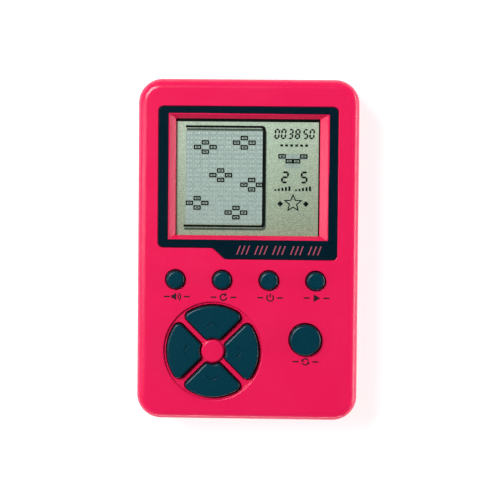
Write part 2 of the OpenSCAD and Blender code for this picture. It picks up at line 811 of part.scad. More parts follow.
module cell_upper() {
    color([0.15, 0.16, 0.18]) translate([0, cell_high_y, cell_z]) cell();
}

module cell_lower() {
    color([0.15, 0.16, 0.18]) translate([0, cell_low_y, cell_z]) mirror([1, 0, 0]) cell();
}

// Contact sizes shared by the three plates
plate_h = 5.6;
plate_reach = 3.5;
leaf_w = 3;
tail_w = 2;
tail_low = board_top_y - tail_w;
contact_face = cell_len / 2 + film_clear;

// Bent leaf from the bay's end wall to the cell's end, at the right-hand side
module contact_leaf(y) {
    wall_x = bay_w / 2 - contact_t;
    mid_z = plate_h / 4;
    translate([0, y + leaf_w / 2, cell_z]) rotate([90, 0, 0]) linear_extrude(leaf_w) polygon([
        [wall_x + contact_t / 2, plate_h / 2], [wall_x, plate_h / 2 - contact_t],
        [contact_face + contact_t, mid_z], [contact_face + contact_t, -mid_z],
        [wall_x - 2 * contact_t, -plate_h / 2 + contact_t], [wall_x - 2 * contact_t, -plate_h / 2],
        [contact_face, -mid_z - contact_t], [contact_face, mid_z + contact_t]
    ]);
}

// Plate against the bay's end wall, at the right-hand side
module contact_plate(y_low, y_high) {
    translate([bay_w / 2 - contact_t, y_low, cell_z - plate_h / 2])
        cube([contact_t, y_high - y_low, plate_h]);
}

module contact_bridge() {
    color("silver") {
        contact_plate(cell_low_y - plate_reach, cell_high_y + plate_reach);
        contact_leaf(cell_low_y);
        contact_leaf(cell_high_y);
    }
}

// The plate's tail rises over the board's upper edge and stands on its upper side
module contact_plus() {
    plate_low = cell_low_y - plate_reach;
    plate_x = bay_w / 2 - contact_t;
    color("silver") mirror([1, 0, 0]) {
        contact_plate(plate_low, cell_low_y + plate_reach);
        contact_leaf(cell_low_y);
        translate([plate_x, plate_low, cell_z]) cube([contact_t, tail_w, board_top + tail_w - cell_z]);
        translate([plate_x, tail_low, board_top]) cube([contact_t, plate_low + tail_w - tail_low, tail_w]);
    }
}

// The plate's tail runs low past the other plate and rises to the board's underside
module contact_minus() {
    plate_low = cell_high_y - plate_reach;
    plate_x = bay_w / 2 - contact_t;
    tail_z = ledge_top + film_clear;
    color("silver") mirror([1, 0, 0]) {
        contact_plate(plate_low, cell_high_y + plate_reach);
        contact_leaf(cell_high_y);
        translate([plate_x, plate_low, tail_z]) cube([contact_t, tail_w, cell_z - tail_z]);
        translate([plate_x, tail_low, tail_z]) cube([contact_t, plate_low + tail_w - tail_low, tail_w / 2]);
        translate([plate_x, tail_low, tail_z]) cube([contact_t, tail_w, board_z - tail_z]);
    }
}

front_shell();
rear_shell();
inlay_plate();
display_polariser();
display_front_glass();
display_rear_glass();
display_reflector();
display_pad();
zebra_strip();
zebra_holder();
main_board();
chip_blob();
buzzer();
capacitor();
board_chips();
function_mat();
action_mat();
for (k = KEY_NAMES) key(k);
for (k = KEY_NAMES) pill(k);
battery_door();
door_screw();
cell_upper();
cell_lower();
contact_bridge();
contact_plus();
contact_minus();
case_screws();
board_screws();
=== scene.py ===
import math

import bmesh
import bpy
from mathutils import Matrix, Vector


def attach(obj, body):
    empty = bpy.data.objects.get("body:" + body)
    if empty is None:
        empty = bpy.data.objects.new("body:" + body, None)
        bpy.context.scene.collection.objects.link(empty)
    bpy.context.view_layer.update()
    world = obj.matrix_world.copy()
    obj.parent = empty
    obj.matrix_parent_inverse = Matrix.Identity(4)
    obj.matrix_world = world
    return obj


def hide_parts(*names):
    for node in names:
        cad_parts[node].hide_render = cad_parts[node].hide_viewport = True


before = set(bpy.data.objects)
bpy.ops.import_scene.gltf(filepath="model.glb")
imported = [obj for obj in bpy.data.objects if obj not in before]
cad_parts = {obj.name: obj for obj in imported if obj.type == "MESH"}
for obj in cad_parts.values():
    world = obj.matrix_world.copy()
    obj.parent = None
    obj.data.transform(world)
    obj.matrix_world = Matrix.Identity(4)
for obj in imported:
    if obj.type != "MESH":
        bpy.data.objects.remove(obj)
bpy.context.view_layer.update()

# Sizes in mm, as in the part's source apart from the rounding of edges.
# The console lies on its back, display end towards +Y.
MM = 0.001
CASE_W = 60.0
CASE_H = 92.6
CASE_R = 6.6
FACE_Z = 18.0
SEAM_Z = 9.0
EDGE_R = 2.6
WALL = 1.6
INSIDE_Z = FACE_Z - WALL
OVERLAP = 0.3
WINDOW = (-21.5, 2.85, 21.7, 36.85)
OPENING = (-19.7, 3.85, 19.4, 35.55)
BEVEL_LOW_Z = 16.5
DISPLAY_Z = 15.6
INLAY = (-24.3, 0.55, 24.3, 38.85)
INLAY_R = 1.3
INLAY_LOW_Z = 17.5
INLAY_TOP_Z = 18.1
TAB_X = -9.5
TAB_RUN = 3.4
TAB_LOW = -2.5
PAD_AT = (-9.2, -27.6)
PAD_R = 12.6
DISH_R = 13.3
DISH_Z = 17.4
DISH_EDGE_R = 0.4
HUB_R = 3.15
HUB_TOP_Z = 18.2
HUB_EDGE_R = 0.5
RIB_HALF = 0.625
PAD_GAP = 0.2
PAD_TOP_Z = 19.1
PAD_CORNER_R = 1.5
PAD_INNER_R = 0.85
PAD_EDGE_R = 0.8
SMALL_KEYS = {"sound": -19.5, "reset": -6.8, "power": 5.9, "start": 18.6}
SMALL_Y = -8.2
SMALL_R = 2.6
SMALL_TOP_Z = 19.3
TURN_AT = (15.95, -24.2)
TURN_R = 4.35
TURN_TOP_Z = 19.6
FLANGE_LOW_Z = 15.2
FLANGE_TOP_Z = 16.2
FLANGE_W = 0.8
KEY_GAP = 0.2
KEY_EDGE_R = 0.95
FIELD = (-17.1, 6.91, 4.09, 32.26)
CELL = (2.04, 1.24, 0.36)
MARK_LOW_Z = DISPLAY_Z - 0.02
FIELD_TOP_Z = DISPLAY_Z + 0.005
GHOST_TOP_Z = DISPLAY_Z + 0.015
CELL_SHADE_TOP_Z = DISPLAY_Z + 0.025
FRAME_SHADE_TOP_Z = DISPLAY_Z + 0.03
LIT_TOP_Z = DISPLAY_Z + 0.045
SHADOW_BAND_TOP_Z = DISPLAY_Z + 0.06
PRINT_HALF = 0.02
# Offsets of the painted shadows of the frame line and of the lit cells on the reflector.
FRAME_SHIFT = (0.22, -0.8)
CELL_SHIFT = (0.1, -0.3)
LIT_SPOTS = [
    (2, 2), (1, 3), (3, 3), (2, 4), (7, 1), (6, 2), (8, 2), (7, 3), (4, 8), (3, 9), (5, 9), (4, 10),
    (8, 10), (7, 11), (9, 11), (8, 12), (1, 14), (0, 15), (2, 15), (1, 16), (6, 16), (5, 17), (7, 17),
    (6, 18)]
NEXT_LIT = [(9.1, 25.5), (15.0, 25.5), (11.05, 24.2), (13.05, 24.2)]
NEXT_GHOST = [(11.05, 25.5), (13.05, 25.5), (11.05, 22.9), (13.05, 22.9)]
LABELS = {
    "sound": (-19.1, -12.85), "reset": (-6.4, -12.9), "power": (6.3, -12.9), "start": (18.9, -12.85),
    "turn": (16.05, -30.2)}


def linear(red, green, blue):
    """A colour as the eye names it, 0 to 255, as the shader's own numbers."""
    def one(value):
        value = value / 255
        return value / 12.92 if value <= 0.04045 else ((value + 0.055) / 1.055) ** 2.4
    return (one(red), one(green), one(blue), 1.0)


# Bench work: choosing, cutting, rounding and copying


def deselect():
    if bpy.context.mode != "OBJECT":
        bpy.ops.object.mode_set(mode="OBJECT")
    bpy.ops.object.select_all(action="DESELECT")


def take(piece):
    deselect()
    piece.select_set(True)
    bpy.context.view_layer.objects.active = piece


def named(name):
    piece = bpy.context.object
    piece.name = name
    piece.data.name = name
    return piece


def settle(piece):
    """Put the piece's place, turn and size into its mesh."""
    take(piece)
    bpy.ops.object.transform_apply(location=True, rotation=True, scale=True)
    return piece


def open_edit(piece, kind="FACE"):
    take(piece)
    bpy.ops.object.mode_set(mode="EDIT")
    bpy.ops.mesh.select_mode(type=kind)
    bpy.ops.mesh.select_all(action="SELECT")


def close_edit():
    bpy.ops.mesh.select_mode(type="FACE")
    bpy.ops.object.mode_set(mode="OBJECT")


def pick(piece, kind, wanted):
    """Select the points, edges or faces all of whose points pass the test, in mm."""
    bpy.ops.mesh.select_mode(type=kind)
    bpy.ops.mesh.select_all(action="DESELECT")
    shape = bmesh.from_edit_mesh(piece.data)
    parts = {"VERT": shape.verts, "EDGE": shape.edges, "FACE": shape.faces}[kind]
    for part in parts:
        points = [part.co] if kind == "VERT" else [point.co for point in part.verts]
        if all(wanted(point / MM) for point in points):
            part.select_set(True)
    bmesh.update_edit_mesh(piece.data)


def near(value, target, slack=0.004):
    return abs(value - target) < slack


def draw_up(height):
    bpy.ops.mesh.extrude_region_move(TRANSFORM_OT_translate={"value": (0, 0, height * MM)})


def face_out():
    bpy.ops.mesh.select_all(action="SELECT")
    bpy.ops.mesh.normals_make_consistent(inside=False)


def slab(name, box, low, high, corner=0.0, steps=14):
    """A plate from (left, bottom, right, top), its corners rounded and drawn up to its height."""
    left, bottom, right, top = box
    deselect()
    middle = ((left + right) / 2 * MM, (bottom + top) / 2 * MM, low * MM)
    bpy.ops.mesh.primitive_plane_add(size=1, location=middle)
    piece = named(name)
    piece.scale = ((right - left) * MM, (top - bottom) * MM, 1)
    settle(piece)
    open_edit(piece, "VERT")
    if corner:
        bpy.ops.mesh.bevel(offset=corner * MM, segments=steps, affect="VERTICES")
        bpy.ops.mesh.select_all(action="SELECT")
    draw_up(high - low)
    face_out()
    close_edit()
    return piece


def disc(name, at, radius, low, high, sides=96):
    deselect()
    middle = (at[0] * MM, at[1] * MM, (low + high) / 2 * MM)
    bpy.ops.mesh.primitive_cylinder_add(
        vertices=sides, radius=radius * MM, depth=(high - low) * MM, location=middle)
    return settle(named(name))


def outline(name, points, low, high):
    """A flat plate whose rim points are moved to their places, then drawn up."""
    deselect()
    bpy.ops.mesh.primitive_circle_add(vertices=len(points), radius=MM, fill_type="NGON")
    piece = named(name)
    for vertex, (x, y) in zip(piece.data.vertices, points):
        vertex.co = (x * MM, y * MM, low * MM)
    open_edit(piece)
    draw_up(high - low)
    face_out()
    close_edit()
    return piece


def round_edges(piece, wanted, radius, steps):
    open_edit(piece)
    pick(piece, "EDGE", wanted)
    bpy.ops.mesh.bevel(offset=radius * MM, segments=steps, affect="EDGES")
    close_edit()


def combine(piece, tool, operation):
    take(piece)
    change = piece.modifiers.new("bench", "BOOLEAN")
    change.operation = operation
    change.object = tool
    change.solver = "EXACT"
    bpy.ops.object.modifier_apply(modifier=change.name)
    bpy.data.objects.remove(tool)


def cut_away(piece, *tools):
    for tool in tools:
        combine(piece, tool, "DIFFERENCE")


def soften(piece, width, steps=2, least_turn=35):
    """Break every sharp edge by a small radius, as a mould does."""
    take(piece)
    change = piece.modifiers.new("soft edge", "BEVEL")
    change.width = width * MM
    change.segments = steps
    change.limit_method = "ANGLE"
    change.angle_limit = math.radians(least_turn)
    change.use_clamp_overlap = False
    bpy.ops.object.modifier_apply(modifier=change.name)


def smooth(piece, least_turn=40):
    take(piece)
    bpy.ops.object.shade_smooth_by_angle(angle=math.radians(least_turn))
    change = piece.modifiers.new("even shading", "WEIGHTED_NORMAL")
    change.keep_sharp = True
    bpy.ops.object.modifier_apply(modifier=change.name)


def copied(piece, name):
    copy = piece.copy()
    copy.data = piece.data.copy()
    copy.name = name
    copy.data.name = name
    bpy.context.scene.collection.objects.link(copy)
    return copy


def moved(piece, x, y, turn=0.0):
    piece.location = (x * MM, y * MM, 0)
    piece.rotation_euler = (0, 0, math.radians(turn))
    return settle(piece)


def joined(name, pieces):
    deselect()
    for piece in pieces:
        piece.select_set(True)
    bpy.context.view_layer.objects.active = pieces[0]
    bpy.ops.object.join()
    return named(name)


def fit(piece, body, slot, material, *nodes):
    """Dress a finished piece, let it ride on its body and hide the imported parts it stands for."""
    piece.data.materials.clear()
    piece.data.materials.append(material)
    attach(piece, body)
    if nodes:
        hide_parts(*nodes)
    return piece


# Finishes


def new_group(name, inputs, outputs):
    group = bpy.data.node_groups.new(name, "ShaderNodeTree")
    for label, kind, value in inputs:
        socket = group.interface.new_socket(label, in_out="INPUT", socket_type=kind)
        socket.default_value = value
    for label, kind in outputs:
        group.interface.new_socket(label, in_out="OUTPUT", socket_type=kind)
    start = group.nodes.new("NodeGroupInput")
    end = group.nodes.new("NodeGroupOutput")
    return group, start, end


def grain_group():
    """Fine speckle at a given size, as a mask and as a height."""
    group, start, end = new_group(
        "Grain",
        [("Scale", "NodeSocketFloat", 2500.0), ("Contrast", "NodeSocketFloat", 1.0)],
        [("Mask", "NodeSocketFloat"), ("Height", "NodeSocketFloat")])
    place = group.nodes.new("ShaderNodeTexCoord")
    speckle = group.nodes.new("ShaderNodeTexNoise")
    speckle.inputs["Detail"].default_value = 3.0
    speckle.inputs["Roughness"].default_value = 0.6
    spread = group.nodes.new("ShaderNodeMath")
    spread.operation = "MULTIPLY_ADD"
    centred = group.nodes.new("ShaderNodeMath")
    centred.operation = "SUBTRACT"
    centred.inputs[1].default_value = 0.5
    spread.inputs[2].default_value = 0.5
    spread.use_clamp = True
    link = group.links.new
    link(place.outputs["Object"], speckle.inputs["Vector"])
    link(start.outputs["Scale"], speckle.inputs["Scale"])
    link(speckle.outputs["Fac"], centred.inputs[0])
    link(centred.outputs[0], spread.inputs[0])
    link(start.outputs["Contrast"], spread.inputs[1])
    link(spread.outputs[0], end.inputs["Mask"])
    link(speckle.outputs["Fac"], end.inputs["Height"])
    return group


def handling_group():
    """Cloudy gloss and hairline scratches from handling, each as a mask."""
    group, start, end = new_group(
        "Handling",
        [("Patch Scale", "NodeSocketFloat", 90.0), ("Scratch Scale", "NodeSocketFloat", 60.0)],
        [("Patches", "NodeSocketFloat"), ("Scratches", "NodeSocketFloat")])
    place = group.nodes.new("ShaderNodeTexCoord")
    patch = group.nodes.new("ShaderNodeTexNoise")
    patch.inputs["Detail"].default_value = 5.0
    patch.inputs["Roughness"].default_value = 0.62
    tone = group.nodes.new("ShaderNodeMapRange")
    tone.inputs["From Min"].default_value = 0.35
    tone.inputs["From Max"].default_value = 0.7
    stretch = group.nodes.new("ShaderNodeMapping")
    stretch.inputs["Rotation"].default_value = (0.2, 0.3, 0.9)
    stretch.inputs["Scale"].default_value = (0.5, 40.0, 8.0)
    hair = group.nodes.new("ShaderNodeTexNoise")
    hair.inputs["Detail"].default_value = 2.0
    line = group.nodes.new("ShaderNodeMapRange")
    line.inputs["From Min"].default_value = 0.66
    line.inputs["From Max"].default_value = 0.74
    link = group.links.new
    link(place.outputs["Object"], patch.inputs["Vector"])
    link(start.outputs["Patch Scale"], patch.inputs["Scale"])
    link(patch.outputs["Fac"], tone.inputs["Value"])
    link(place.outputs["Object"], stretch.inputs["Vector"])
    link(stretch.outputs["Vector"], hair.inputs["Vector"])
    link(start.outputs["Scratch Scale"], hair.inputs["Scale"])
    link(hair.outputs["Fac"], line.inputs["Value"])
    link(tone.outputs["Result"], end.inputs["Patches"])
    link(line.outputs["Result"], end.inputs["Scratches"])
    return group


GRAIN = grain_group()
HANDLING = handling_group()


def new_finish(name, rough, metal=0.0, specular=0.5):
    material = bpy.data.materials.new(name)
    material.use_nodes = True
    nodes = material.node_tree.nodes
    shader = nodes["Principled BSDF"]
    shader.inputs["Roughness"].default_value = rough
    shader.inputs["Metallic"].default_value = metal
    shader.inputs["Specular IOR Level"].default_value = specular
    return material, nodes, material.node_tree.links.new, shader


def group_node(nodes, group, **values):
    node = nodes.new("ShaderNodeGroup")
    node.node_tree = group
    for label, value in values.items():
        node.inputs[label.replace("_", " ")].default_value = value
    return node


def mixed(nodes, link, factor, first, second):
    """A blend of two colours by a mask; a colour may be a socket or a plain value."""
    mix = nodes.new("ShaderNodeMix")
    mix.data_type = "RGBA"
    link(factor, mix.inputs["Factor"])
    for socket, colour in ((mix.inputs["A"], first), (mix.inputs["B"], second)):
        if isinstance(colour, tuple):
            socket.default_value = colour
        else:
            link(colour, socket)
    return mix.outputs["Result"]


def ranged(nodes, link, value, low, high):
    span = nodes.new("ShaderNodeMapRange")
    span.inputs["To Min"].default_value = low
    span.inputs["To Max"].default_value = high
    link(value, span.inputs["Value"])
    return span.outputs["Result"]


def bumped(nodes, link, shader, height, depth, strength=1.0):
    bump = nodes.new("ShaderNodeBump")
    bump.inputs["Distance"].default_value = depth * MM
    bump.inputs["Strength"].default_value = strength
    link(height, bump.inputs["Height"])
    link(bump.outputs["Normal"], shader.inputs["Normal"])


def upward(nodes, link):
    """A mask of the faces that look up, along the part's own Z; the faces that don't look up get painted
    shade.
    """
    place = nodes.new("ShaderNodeTexCoord")
    split = nodes.new("ShaderNodeSeparateXYZ")
    rise = nodes.new("ShaderNodeMapRange")
    rise.inputs["From Min"].default_value = 0.5
    rise.inputs["From Max"].default_value = 0.95
    link(place.outputs["Normal"], split.inputs[0])
    link(split.outputs["Z"], rise.inputs["Value"])
    return rise.outputs["Result"]


def moulded(name, colour, paler, rough, grain_size, grain_depth, specular=0.5, speckle=0.25,
            scratch=0.06, painted_flank_shade=None):
    """Moulded plastic: fine grain, cloudy gloss, slightly paler patches and hairline scratches, and, where
    a flank colour is given, painted shade on the faces that don't look up.
    """
    material, nodes, link, shader = new_finish(name, rough, specular=specular)
    grain = group_node(nodes, GRAIN, Scale=1000 / grain_size, Contrast=1.6)
    marks = group_node(nodes, HANDLING, Patch_Scale=70.0)
    light_grain = ranged(nodes, link, grain.outputs["Mask"], 0.0, speckle)
    base = mixed(nodes, link, light_grain, colour, paler)
    light_patch = ranged(nodes, link, marks.outputs["Patches"], 0.0, 0.07)
    base = mixed(nodes, link, light_patch, base, paler)
    light_scratch = ranged(nodes, link, marks.outputs["Scratches"], 0.0, scratch)
    base = mixed(nodes, link, light_scratch, base, paler)
    if painted_flank_shade:
        # Painted shade: faces that don't look up take the darker flank colour.
        base = mixed(nodes, link, upward(nodes, link), painted_flank_shade, base)
    link(base, shader.inputs["Base Color"])
    gloss = ranged(nodes, link, marks.outputs["Patches"], rough - 0.02, rough + 0.04)
    link(gloss, shader.inputs["Roughness"])
    bumped(nodes, link, shader, grain.outputs["Height"], grain_depth)
    return material


def case_finish():
    return moulded("case pink", linear(235, 6, 76), linear(246, 56, 112), 0.22, 0.34, 0.01,
                   specular=0.34, speckle=0.4, scratch=0.0)


def inlay_finish():
    return moulded("inlay dark", linear(1, 20, 31), linear(8, 46, 58), 0.2, 0.32, 0.005,
                   specular=0.1, speckle=0.5)


def key_finish():
    # The keys' flanks get painted shade, a darker teal on the faces that don't look up.
    return moulded("key teal", linear(0, 40, 54), linear(5, 76, 92), 0.22, 0.36, 0.01,
                   specular=0.2, speckle=0.6, painted_flank_shade=linear(0, 14, 20))


def label_finish():
    return moulded("label ink", linear(30, 6, 18), linear(70, 12, 40), 0.55, 0.3, 0.004,
                   specular=0.2, speckle=0.5)


def strip_finish():
    return moulded("strip pink", linear(158, 66, 88), linear(192, 92, 112), 0.45, 0.3, 0.004,
                   specular=0.25, speckle=0.5)


def along_y(nodes, link, low, high):
    """A mask that rises from 0 to 1 between two places along the console, in mm."""
    place = nodes.new("ShaderNodeTexCoord")
    split = nodes.new("ShaderNodeSeparateXYZ")
    rise = nodes.new("ShaderNodeMapRange")
    rise.inputs["From Min"].default_value = low * MM
    rise.inputs["From Max"].default_value = high * MM
    link(place.outputs["Object"], split.inputs[0])
    link(split.outputs["Y"], rise.inputs["Value"])
    return rise.outputs["Result"]


def display_finish():
    """The display's ground: grey green with the fine speckle of its reflector, darkened towards the bottom
    as painted shade.
    """
    material, nodes, link, shader = new_finish("display ground", 0.42, specular=0.3)
    fine = group_node(nodes, GRAIN, Scale=3800.0, Contrast=3.2)
    speckled = mixed(nodes, link, fine.outputs["Mask"], linear(148, 172, 151), linear(203, 224, 200))
    # Painted shade: a darker colour towards the bottom of the opening.
    shaded_low_end = mixed(nodes, link, fine.outputs["Mask"], linear(114, 130, 106), linear(166, 180, 154))
    painted_shade_fade = along_y(nodes, link, OPENING[1], OPENING[3])
    link(mixed(nodes, link, painted_shade_fade, shaded_low_end, speckled), shader.inputs["Base Color"])
    bumped(nodes, link, shader, fine.outputs["Height"], 0.004)
    return material


def field_finish():
    """The playing field's greyer ground, darkened towards the bottom as painted shade."""
    material, nodes, link, shader = new_finish("field ground", 0.42, specular=0.3)
    fine = group_node(nodes, GRAIN, Scale=3800.0, Contrast=3.2)
    speckled = mixed(nodes, link, fine.outputs["Mask"], linear(160, 184, 174), linear(204, 226, 216))
    # Painted shade: a darker colour towards the bottom of the field.
    shaded_low_end = mixed(nodes, link, fine.outputs["Mask"], linear(142, 163, 153), linear(186, 206, 195))
    painted_shade_fade = along_y(nodes, link, FIELD[1], FIELD[3])
    link(mixed(nodes, link, painted_shade_fade, shaded_low_end, speckled), shader.inputs["Base Color"])
    bumped(nodes, link, shader, fine.outputs["Height"], 0.004)
    return material


def ghost_finish():
    """Display segments at rest, a little darker than the field."""
    material, nodes, link, shader = new_finish("ghost segments", 0.42, specular=0.3)
    fine = group_node(nodes, GRAIN, Scale=2200.0, Contrast=2.2)
    link(mixed(nodes, link, fine.outputs["Mask"], linear(130, 150, 144), linear(166, 186, 179)),
         shader.inputs["Base Color"])
    return material


def segment_finish():
    """Display segments switched on."""
    material, nodes, link, shader = new_finish("lit segments", 0.45, specular=0.08)
    fine = group_node(nodes, GRAIN, Scale=2600.0, Contrast=1.8)
    link(mixed(nodes, link, fine.outputs["Mask"], linear(1, 3, 5), linear(12, 18, 18)),
         shader.inputs["Base Color"])
    return material


def shade_finish(name, dark, pale):
    """A painted shadow: the soft second image of a lit segment, standing for its shadow on the reflector
    below it.
    """
    material, nodes, link, shader = new_finish(name, 0.45, specular=0.25)
    fine = group_node(nodes, GRAIN, Scale=2600.0, Contrast=2.4)
    link(mixed(nodes, link, fine.outputs["Mask"], dark, pale), shader.inputs["Base Color"])
    return material


def steel_finish():
    material, nodes, link, shader = new_finish("screw steel", 0.35, metal=1.0)
    grain = group_node(nodes, GRAIN, Scale=5000.0, Contrast=1.5)
    marks = group_node(nodes, HANDLING, Patch_Scale=900.0, Scratch_Scale=300.0)
    base = mixed(nodes, link, grain.outputs["Mask"], linear(150, 152, 156), linear(186, 188, 190))
    link(mixed(nodes, link, marks.outputs["Scratches"], base, linear(214, 214, 214)),
         shader.inputs["Base Color"])
    link(ranged(nodes, link, marks.outputs["Patches"], 0.28, 0.5), shader.inputs["Roughness"])
    return material


def spring_metal_finish():
    material, nodes, link, shader = new_finish("contact metal", 0.3, metal=1.0)
    grain = group_node(nodes, GRAIN, Scale=3000.0, Contrast=1.4)
    link(mixed(nodes, link, grain.outputs["Mask"], linear(190, 188, 180), linear(214, 212, 204)),
         shader.inputs["Base Color"])
    link(ranged(nodes, link, grain.outputs["Mask"], 0.24, 0.42), shader.inputs["Roughness"])
    return material


def clear_finish(name, tint, opacity):
    material, nodes, link, shader = new_finish(name, 0.06)
    shader.inputs["Alpha"].default_value = opacity
    grain = group_node(nodes, GRAIN, Scale=900.0, Contrast=1.0)
    paler = tuple(min(1.0, channel * 1.1) for channel in tint[:3]) + (1.0,)
    link(mixed(nodes, link, grain.outputs["Mask"], tint, paler), shader.inputs["Base Color"])
    link(ranged(nodes, link, grain.outputs["Mask"], 0.04, 0.1), shader.inputs["Roughness"])
    return material


PINK = case_finish()
INLAY_DARK = inlay_finish()
TEAL = key_finish()
LABEL_INK = label_finish()
STRIP_PINK = strip_finish()
DISPLAY_GROUND = display_finish()
FIELD_GROUND = field_finish()
GHOST = ghost_finish()
LIT = segment_finish()
FRAME_SHADE = shade_finish("frame shade", linear(36, 54, 46), linear(78, 98, 84))
CELL_SHADE = shade_finish("cell shade", linear(128, 147, 138), linear(166, 185, 175))
STEEL = steel_finish()
CONTACT = spring_metal_finish()
GLASS = clear_finish("display glass", linear(196, 214, 200), 0.3)


# The case


def window_tool():
    """The stepped hole of the display window: an upright rim, then sides that lean outwards."""
    tool = slab("window tool", OPENING, SEAM_Z, BEVEL_LOW_Z)
    over = 0.6
    reach = 1 + over / (FACE_Z - BEVEL_LOW_Z)
    middle_y = (OPENING[1] + OPENING[3]) / 2 * MM
    wide = [low + (high - low) * reach for low, high in zip(OPENING, WINDOW)]
    open_edit(tool)
    pick(tool, "FACE", lambda p: near(p.z, BEVEL_LOW_Z))
    draw_up(FACE_Z + over - BEVEL_LOW_Z)
    bpy.ops.object.mode_set(mode="OBJECT")
    for vertex in tool.data.vertices:
        if vertex.co.z > (BEVEL_LOW_Z + 0.1) * MM:
            vertex.co.x = wide[2 if vertex.co.x > 0 else 0] * MM
            vertex.co.y = wide[3 if vertex.co.y > middle_y else 1] * MM
    return tool


def inlay_points(grow):
    left, bottom, right, top = INLAY
    return [
        (left - grow, bottom - grow), (TAB_X - grow, bottom - grow),
        (TAB_X + TAB_RUN - grow, TAB_LOW - grow), (right + grow, TAB_LOW - grow),
        (right + grow, top + grow), (left - grow, top + grow)]


def inlay_blank(name, grow, low, high):
    """The inlay's stepped outline with its corners rounded."""
    deselect()
    points = inlay_points(grow)
    bpy.ops.mesh.primitive_circle_add(vertices=len(points), radius=MM, fill_type="NGON")
    blank = named(name)
    for vertex, (x, y) in zip(blank.data.vertices, points):
        vertex.co = (x * MM, y * MM, low * MM)
    open_edit(blank, "VERT")
    pick(blank, "VERT", lambda p: abs(p.x) > 20)
    bpy.ops.mesh.bevel(offset=(INLAY_R + grow) * MM, segments=8, affect="VERTICES")
    pick(blank, "VERT", lambda p: abs(p.x) < 12)
    bpy.ops.mesh.bevel(offset=0.6 * MM, segments=5, affect="VERTICES")
    bpy.ops.mesh.select_all(action="SELECT")
    draw_up(high - low)
    face_out()
    close_edit()
    return blank


def arc(at, radius, start, stop, steps=12):
    angles = [math.radians(start + (stop - start) * i / steps) for i in range(steps + 1)]
    return [(at[0] + radius * math.cos(a), at[1] + radius * math.sin(a)) for a in angles]


def sector_points(inset):
    """One quarter of the pad about the origin, pointing +Y, its sides parallel to the ribs."""
    outer = PAD_R - inset
    inner = HUB_R + 0.3 + inset
    side = RIB_HALF + PAD_GAP + inset
    big = PAD_CORNER_R - inset
    small = PAD_INNER_R - inset
    wide = 45 + math.degrees(math.asin((side + big) / (outer - big)))
    tight = 45 + math.degrees(math.asin((side + small) / (inner + small)))
    far = arc((0, 0), outer - big, wide, wide, 1)[0]
    close = arc((0, 0), inner + small, tight, tight, 1)[0]
    right = arc(close, small, tight + 180, 315, 6) + arc(far, big, -45, wide, 8)
    left = [(-x, y) for x, y in reversed(right)]
    rim = arc((0, 0), outer, wide, 180 - wide, 28)[1:-1]
    hollow = arc((0, 0), inner, 180 - tight, tight, 10)[1:-1]
    return right + rim + left + hollow


def sector_blank(name, inset, low, high):
    return outline(name, sector_points(inset), low, high)


def on_dish_rim(p):
    reach = math.hypot(p.x - PAD_AT[0], p.y - PAD_AT[1])
    return near(p.z, FACE_Z) and near(reach, DISH_R, 0.05)


def make_front_case():
    half_w = CASE_W / 2
    half_h = CASE_H / 2
    case = slab("front_case", (-half_w, -half_h, half_w, half_h), SEAM_Z, FACE_Z, CASE_R, 16)
    round_edges(case, lambda p: near(p.z, FACE_Z), EDGE_R, 12)
    inner = (-half_w + WALL, -half_h + WALL, half_w - WALL, half_h - WALL)
    hollow = slab("hollow", inner, SEAM_Z - 1, INSIDE_Z, CASE_R - WALL, 10)
    cut_away(case, hollow)
    left, bottom, right, top = OPENING
    rim = 1.2
    around = (left - rim, bottom - rim, right + rim, top + rim)
    rim_block = slab("rim block", around, DISPLAY_Z, INSIDE_Z + OVERLAP)
    combine(case, rim_block, "UNION")
    cut_away(case, window_tool())
    seat = inlay_blank("inlay seat", 0.1, INLAY_LOW_Z, FACE_Z + 1)
    cut_away(seat, slab("seat island", WINDOW, INLAY_LOW_Z - 1, FACE_Z + 2))
    cut_away(case, seat)
    cut_away(case, disc("dish", PAD_AT, DISH_R, DISH_Z, FACE_Z + 1, 144))
    round_edges(case, on_dish_rim, DISH_EDGE_R, 5)
    for x in SMALL_KEYS.values():
        cut_away(case, disc("key hole", (x, SMALL_Y), SMALL_R + KEY_GAP, INSIDE_Z - 1, FACE_Z + 1, 64))
    cut_away(case, disc("turn hole", TURN_AT, TURN_R + KEY_GAP, INSIDE_Z - 1, FACE_Z + 1, 80))
    for turn in (0, 90, 180, 270):
        hole = sector_blank("pad hole", -PAD_GAP, INSIDE_Z - 1, FACE_Z + 1)
        cut_away(case, moved(hole, *PAD_AT, turn))
    hub = disc("hub", PAD_AT, HUB_R, INSIDE_Z + OVERLAP, HUB_TOP_Z, 72)
    round_edges(hub, lambda p: near(p.z, HUB_TOP_Z), HUB_EDGE_R, 6)
    combine(case, hub, "UNION")
    soften(case, 0.18, 3)
    smooth(case)
    return fit(case, "case", "case_pink", PINK, "front_shell")


def make_inlay():
    inlay = inlay_blank("inlay", 0.0, INLAY_LOW_Z, INLAY_TOP_Z)
    left, bottom, right, top = WINDOW
    gap = 0.1
    opening = (left - gap, bottom - gap, right + gap, top + gap)
    cut_away(inlay, slab("inlay opening", opening, INLAY_LOW_Z - 1, INLAY_TOP_Z + 1))
    soften(inlay, 0.14, 3)
    smooth(inlay)
    return fit(inlay, "case", "inlay_dark", INLAY_DARK, "inlay_plate")


# The keys


def add_flange(piece, low, wide):
    """Widen the foot below the shell, so the key can't fall out."""
    open_edit(piece)
    pick(piece, "FACE", lambda p: near(p.z, low))
    bpy.ops.mesh.extrude_region_move(TRANSFORM_OT_translate={"value": (0, 0, 0)})
    bpy.ops.transform.resize(value=(wide, wide, 1))
    draw_up(FLANGE_LOW_Z - low)
    face_out()
    close_edit()


